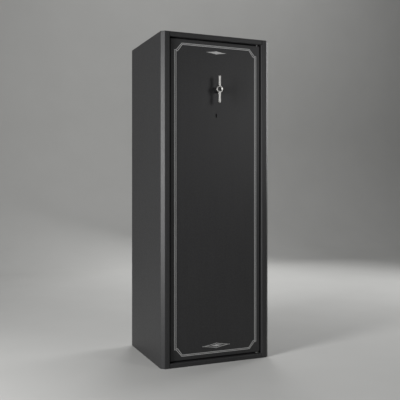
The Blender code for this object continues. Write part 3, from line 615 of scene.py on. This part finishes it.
mat_low, mat_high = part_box("floor_mat")
mat_hole = 0.009
made("ribbed_floor_mat", [ribbed_mat(mat_low, mat_high, pitch=0.0044, depth=0.0014, edge=0.0010)],
     moulded_rubber("extruded_mat_rubber", "#1e1e1f", "#2f2f31", 0.6), "floor_mat",
     cuts=[hole(mat_hole, (x, y, mat_low.z), "Z", reach=0.020) for x, y in floor_anchors])

# --- Shelf and clips ----------------------------------------------------------------------------
# A 2 mm steel shelf with its front edge folded down, covered in the same felt, which lies on four
# zinc-plated angle clips.


def zinc_plate():
    """Steel with a clear-passivated zinc plate: a cool grey metal, duller than bare steel, with faint clouds.

    The clouds are drawn 14 mm across, as they are on barrel-plated parts.
    """
    material, shader = new_material("zinc_plate")
    place = add(material, "ShaderNodeTexCoord", {}).node.outputs["Object"]
    cloud = add(material, "ShaderNodeTexNoise", {"Vector": place, "Scale": 1000 / 14.0, "Detail": 3.0})
    crystal = add(material, "ShaderNodeTexNoise", {"Vector": place, "Scale": 1000 / 0.8, "Detail": 2.0})
    add(material, "ShaderNodeMix", {0: cloud, 6: linear("#8e9296"), 7: linear("#b2b6b8")},
        shader.inputs["Base Color"], data_type="RGBA")
    add(material, "ShaderNodeMapRange", {"Value": cloud, "To Min": 0.30, "To Max": 0.50},
        shader.inputs["Roughness"])
    add(material, "ShaderNodeBump", {"Height": crystal, "Distance": 0.00004, "Strength": 0.4},
        shader.inputs["Normal"])
    shader.inputs["Metallic"].default_value = 1.0
    return material


zinc = zinc_plate()
shelf_low, shelf_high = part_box("shelf")
shelf_sheet = 0.002
shelf_fold = 0.004
shelf_path = [(shelf_low.y, shelf_low.z), (shelf_low.y, shelf_high.z), (shelf_high.y, shelf_high.z)]
shelf_shape = folded_sheet(arced(shelf_path, shelf_fold), shelf_sheet, "X", shelf_low.x, shelf_high.x)
made("felted_shelf", [shelf_shape], felt, "shelf", ease=0.0006)
for side in ("left", "right"):
    for end in ("front", "back"):
        eased("shelf_clip_%s_%s" % (side, end), 0.0005, zinc)

# --- Barrel rack --------------------------------------------------------------------------------
# An 18 mm board with seven round-ended notches, wrapped in felt, that holds the barrels upright.
# It is screwed to a zinc-plated steel angle across the back.

eased("barrel_rack", 0.0020, felt, segments=3)
eased("rack_angle", 0.0006, zinc)

# --- Door pan -----------------------------------------------------------------------------------
# The door: a 4 mm steel skin whose four sides are folded back, with a lip turned in round the
# open rear. It is drilled for the spindle, the key, the bolts and the hinge pins, and coated.


def pan(low, high, sheet, bend, lip_width):
    """Rounded rectangles inside one another. Their insets and depths follow the pan's section: the front's
    rim, the bend as a quarter circle, the side, the lip, and back along the inside to the inner front."""
    corner = 0.0045
    rear_bend = 0.0015
    angle = np.linspace(0, math.pi / 2, 7)
    front_rim = np.stack([bend * (1 - np.sin(angle)), low.y + bend * (1 - np.cos(angle))], axis=1)
    angle = angle[::2]
    rear_rim = np.stack([rear_bend * (1 - np.cos(angle)), high.y - rear_bend * (1 - np.sin(angle))], axis=1)
    inside = np.array([(lip_width, high.y), (lip_width, high.y - sheet), (sheet, high.y - sheet),
                       (sheet, low.y + sheet)])
    corners = [(high.x, high.z), (high.x, low.z), (low.x, low.z), (low.x, high.z)]
    outline = arced_ring(corners, corner, steps=4)
    insets, depths = np.concatenate([front_rim, rear_rim, inside]).T
    return skin(stacked(outline, insets, depths, "Y"))


def round_ended_slot(width, height, middle_z, low, high):
    """An upright slot from one depth to another: a half circle above, and the same turned round below."""
    angle = np.linspace(0, math.pi, 9)
    radius = width / 2
    upper = radius * np.stack([np.cos(angle), np.sin(angle)], axis=1) + (0, height / 2 - radius)
    return prism(np.concatenate([upper, -upper]) + (0, middle_z), "Y", low, high)


door_low, door_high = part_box("door_pan")
door_sheet = 0.004
door_bend = 0.004
door_lip = 0.020
spindle_hole = 0.007
keyhole_width = 0.0065
keyhole_height = 0.020
drill_reach = 0.010
bolt_clearance = 0.0006
screw_hole = 0.0023

key_low, key_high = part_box("key_curtain")
lock_z = (key_low.z + key_high.z) / 2
spindle_low, spindle_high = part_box("spindle")
handle_z = (spindle_low.z + spindle_high.z) / 2
door_cuts = [hole(spindle_hole, (0, door_low.y, handle_z), "Y"),
             round_ended_slot(keyhole_width, keyhole_height, lock_z, door_low.y - drill_reach,
                              door_low.y + drill_reach)]
for node, axis, outer_end in (("side_bolt_1", "X", 0), ("side_bolt_2", "X", 0), ("side_bolt_3", "X", 0),
                              ("top_bolt", "Z", 1), ("bottom_bolt", "Z", 0)):
    bolt_box = np.array([list(point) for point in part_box(node)])
    middle = (bolt_box[0] + bolt_box[1]) / 2
    along = "XYZ".index(axis)
    middle[along] = bolt_box[outer_end, along]
    bolt_radius = (bolt_box[1] - bolt_box[0])[1] / 2
    door_cuts.append(hole(bolt_radius + bolt_clearance, middle, axis))
door_cuts += [hole(pin_hole, (*pivot, z), "Z") for z in (door_low.z, door_high.z)]
screw_boxes = [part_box("cover_screw_%d" % number) for number in range(1, 7)]
screws = [((low.x + high.x) / 2, (low.z + high.z) / 2) for low, high in screw_boxes]
door_cuts += [hole(screw_hole, (x, door_high.y, z), "Y", count=16) for x, z in screws]
made("folded_door_pan", [pan(door_low, door_high, door_sheet, door_bend, door_lip)], charcoal, "door_pan",
     cuts=door_cuts)

# --- Pinstripe and ornaments --------------------------------------------------------------------
# Two fine silver-grey lines round the door, stepped and cut off at the corners, and two plain
# lozenge ornaments, screen printed on the coat. They are a generic decoration of no meaning.


def silver_screen_ink():
    """Screen ink with fine aluminium flake: flat silver grey, a little brighter where flakes lie level."""
    material, shader = new_material("silver_screen_ink")
    place = add(material, "ShaderNodeTexCoord", {}).node.outputs["Object"]
    flake = add(material, "ShaderNodeTexNoise", {"Vector": place, "Scale": 1000 / 1.0, "Detail": 2.0})
    add(material, "ShaderNodeMix", {0: flake, 6: linear("#adadad"), 7: linear("#c6c6c5")},
        shader.inputs["Base Color"], data_type="RGBA")
    add(material, "ShaderNodeMapRange", {"Value": flake, "To Min": 0.40, "To Max": 0.55},
        shader.inputs["Roughness"])
    shader.inputs["Metallic"].default_value = 0.2
    return material


def stepped_outline(half_width, half_height, step, foot, cut_top):
    """A tall rectangle whose corners are cut: each side ends in a foot that steps inwards, and a slanted run
    goes on to the top or bottom. It runs clockwise as seen from the front."""
    middle_z = (door_low.z + door_high.z) / 2
    quarter = np.array([(half_width, foot), (half_width - step, foot), (cut_top, half_height)])
    lower = quarter[::-1] * (1, -1)
    outline = np.concatenate([quarter[::-1], lower[::-1], lower * (-1, 1), quarter * (-1, 1)])
    return outline + (0, middle_z)


def lozenge(half_width, half_height, middle_z):
    """A diamond with slightly hollow sides: half height times one less |u| to the power 0.7, over u from -1
    to 1, with its two tips left blunt."""
    blunt = 0.0003
    u = np.linspace(-1, 1, 41)
    rise = half_height * (1 - np.abs(u) ** 0.7)
    top = np.stack([half_width * u, middle_z + np.maximum(rise, blunt)], axis=1)
    bottom = top[::-1] * (1, -1) + (0, 2 * middle_z)
    return np.concatenate([top, bottom])


ink = silver_screen_ink()
ink_face = door_low.y - 0.00012
ink_root = door_low.y + 0.0003
line = 0.0025
outer_line = stepped_outline(half_width=0.2060, half_height=0.7050, step=0.0084, foot=0.673, cut_top=0.1703)
inner_line = stepped_outline(half_width=0.1990, half_height=0.6994, step=0.0084, foot=0.669, cut_top=0.1683)
pinstripe = [band(outline, line, "Y", ink_root, ink_face) for outline in (outer_line, inner_line)]
made("door_pinstripe", pinstripe, ink, body="door")

upper_z = 1.4235
lower_z = 0.079
lozenge_line = 0.0022
upper_ornament = [prism(lozenge(0.050, 0.0075, upper_z), "Y", ink_root, ink_face)]
made("upper_ornament", upper_ornament, ink, body="door")
lower_ornament = [band(lozenge(0.070, 0.0125, lower_z), lozenge_line, "Y", ink_root, ink_face),
                  prism(lozenge(0.030, 0.0055, lower_z), "Y", ink_root, ink_face)]
made("lower_ornament", lower_ornament, ink, body="door")

# --- Door cover ---------------------------------------------------------------------------------
# A 2 mm coated steel plate over the boltwork, held to the pan's lip by six zinc-plated screws with
# tapered heads and hexagon sockets.

eased("door_cover", 0.0008, charcoal)
shank = 0.0020
shank_point = 0.0012
head_height = 0.0022
head_side = 0.0008
socket_radius = 0.00145
socket_depth = 0.0014
for number, ((x, z), (low, high)) in enumerate(zip(screws, screw_boxes), 1):
    head = (high.x - low.x) / 2
    under = high.y - head_height
    profile = [(shank_point, low.y), (shank, low.y + 0.001), (shank, under), (head, under),
               (head, under + head_side), (head - 0.0006, high.y - 0.0002), (head - 0.0012, high.y)]
    socket = turned([(socket_radius, high.y - socket_depth), (socket_radius, high.y + 0.002)],
                    (x, 0, z), "Y", count=6)
    made("cover_screw_%d_turned" % number, [turned(profile, (x, 0, z), "Y", count=32)], zinc,
         "cover_screw_%d" % number, cuts=[socket])

# --- Hinge bushes, dog bar and stiffener --------------------------------------------------------
# Bored zinc-plated blocks in the pan's corners turn on the pins. The dog bar is a ground strip that
# hooks behind the frame on the hinge side. The stiffener is a folded channel, enamelled black.


def black_enamel():
    """Stoved black enamel: satin, very even, with a faint orange peel of about 4 mm."""
    material, shader = new_material("black_enamel")
    place = add(material, "ShaderNodeTexCoord", {}).node.outputs["Object"]
    peel = add(material, "ShaderNodeTexNoise", {"Vector": place, "Scale": 1000 / 4.0, "Detail": 1.0})
    add(material, "ShaderNodeMix", {0: peel, 6: linear("#0f0f10"), 7: linear("#171718")},
        shader.inputs["Base Color"], data_type="RGBA")
    add(material, "ShaderNodeMapRange", {"Value": peel, "To Min": 0.35, "To Max": 0.48},
        shader.inputs["Roughness"])
    add(material, "ShaderNodeBump", {"Height": peel, "Distance": 0.0001, "Strength": 0.3},
        shader.inputs["Normal"])
    return material


enamel = black_enamel()
eased("hinge_bush_top", 0.0006, zinc)
eased("hinge_bush_bottom", 0.0006, zinc)
eased("dog_bar", 0.0008, steel_along_z)
eased("door_stiffener", 0.0006, enamel)

# --- Boltwork guides ----------------------------------------------------------------------------
# Four slotted steel blocks on the skin that the rods and the carriage's arms slide through,
# enamelled black.

for guide in ("rod_guide_top", "rod_guide_bottom", "carriage_guide_upper", "carriage_guide_lower"):
    eased(guide, 0.0006, enamel)

# --- Lock ---------------------------------------------------------------------------------------
# A lever lock: a zinc-plated case and cover, a slotted brass curtain that the key turns, coloured nearly
# black as painted shade in the keyhole, a pack of brass levers, and the brass bolt that blocks the carriage.


def machined_brass():
    """Free-cutting brass as it comes off the lathe or mill: warm yellow with fine tool lines.

    The lines are drawn 0.6 mm apart, coarser than real ones, so that they show.
    """
    material, shader = new_material("machined_brass")
    place = add(material, "ShaderNodeTexCoord", {}).node.outputs["Object"]
    drawn = add(material, "ShaderNodeMapping", {"Vector": place, "Scale": (1.0, 1.0, 0.1)})
    lines = add(material, "ShaderNodeTexNoise", {"Vector": drawn, "Scale": 1000 / 0.6, "Detail": 3.0})
    add(material, "ShaderNodeMix", {0: lines, 6: linear("#a8853f"), 7: linear("#cfae62")},
        shader.inputs["Base Color"], data_type="RGBA")
    add(material, "ShaderNodeMapRange", {"Value": lines, "To Min": 0.25, "To Max": 0.45},
        shader.inputs["Roughness"])
    add(material, "ShaderNodeBump", {"Height": lines, "Distance": 0.00003, "Strength": 0.4},
        shader.inputs["Normal"])
    shader.inputs["Metallic"].default_value = 1.0
    return material


def keyhole_shade_brass():
    """Brass coloured nearly black, painted shade for the shadow in the keyhole: dull, with warm patches 6 mm
    across.
    """
    material, shader = new_material("keyhole_shade_brass")
    place = add(material, "ShaderNodeTexCoord", {}).node.outputs["Object"]
    dark_patches = add(material, "ShaderNodeTexNoise", {"Vector": place, "Scale": 1000 / 6.0, "Detail": 4.0})
    # Painted shade: both colours are near black and stand in for the shadow inside the keyhole.
    add(material, "ShaderNodeMix", {0: dark_patches, 6: linear("#17140f"), 7: linear("#352c1e")},
        shader.inputs["Base Color"], data_type="RGBA")
    add(material, "ShaderNodeMapRange", {"Value": dark_patches, "To Min": 0.45, "To Max": 0.65},
        shader.inputs["Roughness"])
    shader.inputs["Metallic"].default_value = 0.8
    return material


brass = machined_brass()
eased("lock_case", 0.0005, zinc)
eased("lock_cover", 0.0005, zinc)
eased("lever_pack", 0.0003, brass)
eased("lock_bolt", 0.0005, brass)
slot_half = (0.0030, 0.0085)
slot_floor = key_high.y - 0.004
slot_outline = np.array([(1, 1), (1, -1), (-1, -1), (-1, 1)]) * slot_half + (0, lock_z)
key_slot = prism(slot_outline, "Y", key_low.y - drill_reach, slot_floor)
# The key curtain's brass is painted nearly black, as painted shade in the keyhole.
chamfered_bar("key_curtain", "Y", 0.0004, keyhole_shade_brass(), cuts=[key_slot])

# --- Boltwork -----------------------------------------------------------------------------------
# A 4 mm zinc-plated carriage with three round side bolts of ground steel, and two toothed rods
# with a bolt at the end of each. The pinion on the spindle drives all three racks.

steel_along_x = ground_steel("ground_steel_along_x", (1.0, 0.05, 0.05))
steel_along_y = ground_steel("ground_steel_along_y", (0.05, 1.0, 0.05))
eased("bolt_carriage", 0.0004, zinc)
eased("lock_tab", 0.0005, zinc)
eased("top_rod", 0.0004, zinc)
eased("bottom_rod", 0.0004, zinc)
eased("pinion", 0.0002, steel_along_y)
for number in (1, 2, 3):
    chamfered_bar("side_bolt_%d" % number, "X", 0.0020, steel_along_x)
chamfered_bar("top_bolt", "Z", 0.0015, steel_along_z)
chamfered_bar("bottom_bolt", "Z", 0.0015, steel_along_z)
chamfered_bar("spindle", "Y", 0.0006, steel_along_y)
chamfered_bar("spindle_retainer", "Y", 0.0004, zinc)

# --- Handle boss and bush -----------------------------------------------------------------------
# The boss is a black enamelled collar that stands out of the door and covers the spindle, and the
# bush behind it is brass.

boss_low, boss_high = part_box("handle_boss")
boss_radius = (boss_high.x - boss_low.x) / 2
boss_bore = 0.0065
bush_bore = 0.0063
boss_rim = ((0.0, 0.0045), (0.0005, 0.0032), (0.0022, 0.0004), (0.0030, 0.0))
boss_profile = [(boss_radius, boss_high.y)]
boss_profile += [(boss_radius - inset, boss_low.y + depth) for inset, depth in boss_rim]
boss_profile += [(boss_bore, boss_low.y), (boss_bore, boss_high.y)]
made("handle_boss_turned", [turned(boss_profile, (0, 0, handle_z), "Y", loop=True)], enamel, "handle_boss")
chamfered_bar("spindle_bush", "Y", 0.0005, brass, bore=bush_bore)

# --- Handle -------------------------------------------------------------------------------------
# A two-arm handle, die cast, polished and plated in satin nickel, with an eye-shaped hub. A black
# dished plug closes the hub's bore.


def satin_nickel_plate():
    """Nickel over a polished casting, brushed lightly along the arms: warm silver, soft broad highlights.

    The brush lines are drawn 0.6 mm apart, coarser than real ones, so that they show.
    """
    material, shader = new_material("satin_nickel_plate")
    place = add(material, "ShaderNodeTexCoord", {}).node.outputs["Object"]
    drawn = add(material, "ShaderNodeMapping", {"Vector": place, "Scale": (1.0, 1.0, 0.05)})
    lines = add(material, "ShaderNodeTexNoise", {"Vector": drawn, "Scale": 1000 / 0.6, "Detail": 3.0})
    add(material, "ShaderNodeMix", {0: lines, 6: linear("#a2a19f"), 7: linear("#bab9b6")},
        shader.inputs["Base Color"], data_type="RGBA")
    add(material, "ShaderNodeMapRange", {"Value": lines, "To Min": 0.32, "To Max": 0.46},
        shader.inputs["Roughness"])
    add(material, "ShaderNodeBump", {"Height": lines, "Distance": 0.00003, "Strength": 0.3},
        shader.inputs["Normal"])
    shader.inputs["Metallic"].default_value = 1.0
    return material


def handle_outline(reach, hub, arm, waist, blend):
    """Half widths along one arm, mirrored to four quarters. The half width is a smooth maximum of the hub's
    circle and the arm's own, 0.5 (a + b + root((a - b)^2 + blend^2)); the arm's narrows to the waist half way
    along it, by a squared cosine, and its end is a half circle."""
    z = np.linspace(0, reach - arm, 33)
    circle = np.sqrt(np.maximum(hub ** 2 - z ** 2, 0))
    bar = arm - (arm - waist) * np.cos(math.pi * np.clip((z - 0.5 * reach) / reach, -0.5, 0.5)) ** 2
    width = 0.5 * (circle + bar + np.sqrt((circle - bar) ** 2 + blend ** 2))
    angle = np.linspace(0, math.pi / 2, 10)[1:]
    width = np.concatenate([width, width[-1] * np.cos(angle)])
    z = np.concatenate([z, reach - arm + arm * np.sin(angle)])
    quarter = np.stack([width, z], axis=1)
    upper = np.concatenate([quarter, quarter[-2:0:-1] * (-1, 1)])
    return np.concatenate([upper, -upper])[::-1]


def handle_shape(outline, bore, low, high, front_rim, back_rim):
    """Rings of the outline that step inwards as quarter circles at the front and back rims, then rings of the
    bore, whose points lie at the same angles as the outline's, so that the faces between are clean."""
    insets, depths = rounded_rims(low, high, front_rim, back_rim, 6)
    rings = stacked(outline, insets, depths, "Y")
    heading = np.arctan2(outline[:, 1], outline[:, 0])
    circle = np.stack([np.cos(heading), np.sin(heading)], axis=1)
    for radius, depth in ((bore + back_rim, high), (bore, high - back_rim), (bore, low + back_rim),
                          (bore + back_rim, low)):
        rings.append(raised(circle * radius, "Y", depth))
    return skin(np.array(rings) + (0, 0, handle_z), loop=True)


handle_low, handle_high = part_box("handle")
handle_reach = (handle_high.z - handle_low.z) / 2
hub_bore = 0.0098
outline = handle_outline(handle_reach, hub=0.0154, arm=0.0049, waist=0.0043, blend=0.003)
shape = handle_shape(outline, hub_bore, handle_low.y, handle_high.y, front_rim=0.0018, back_rim=0.0016)
made("cast_handle", [shape], satin_nickel_plate(), "handle")

plug_low, plug_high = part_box("hub_insert")
plug_radius = (plug_high.x - plug_low.x) / 2
plug_edge = 0.0004
plug_dish = ((0.0074, 0.0), (0.0066, 0.0010), (0.0030, 0.0016), (0.0005, 0.0017))
plug_profile = [(plug_radius, plug_high.y), (plug_radius, plug_low.y + plug_edge),
                (plug_radius - plug_edge, plug_low.y)]
plug_profile += [(radius, plug_low.y + depth) for radius, depth in plug_dish]
made("hub_plug", [turned(plug_profile, (0, 0, handle_z), "Y")], enamel, "hub_insert")
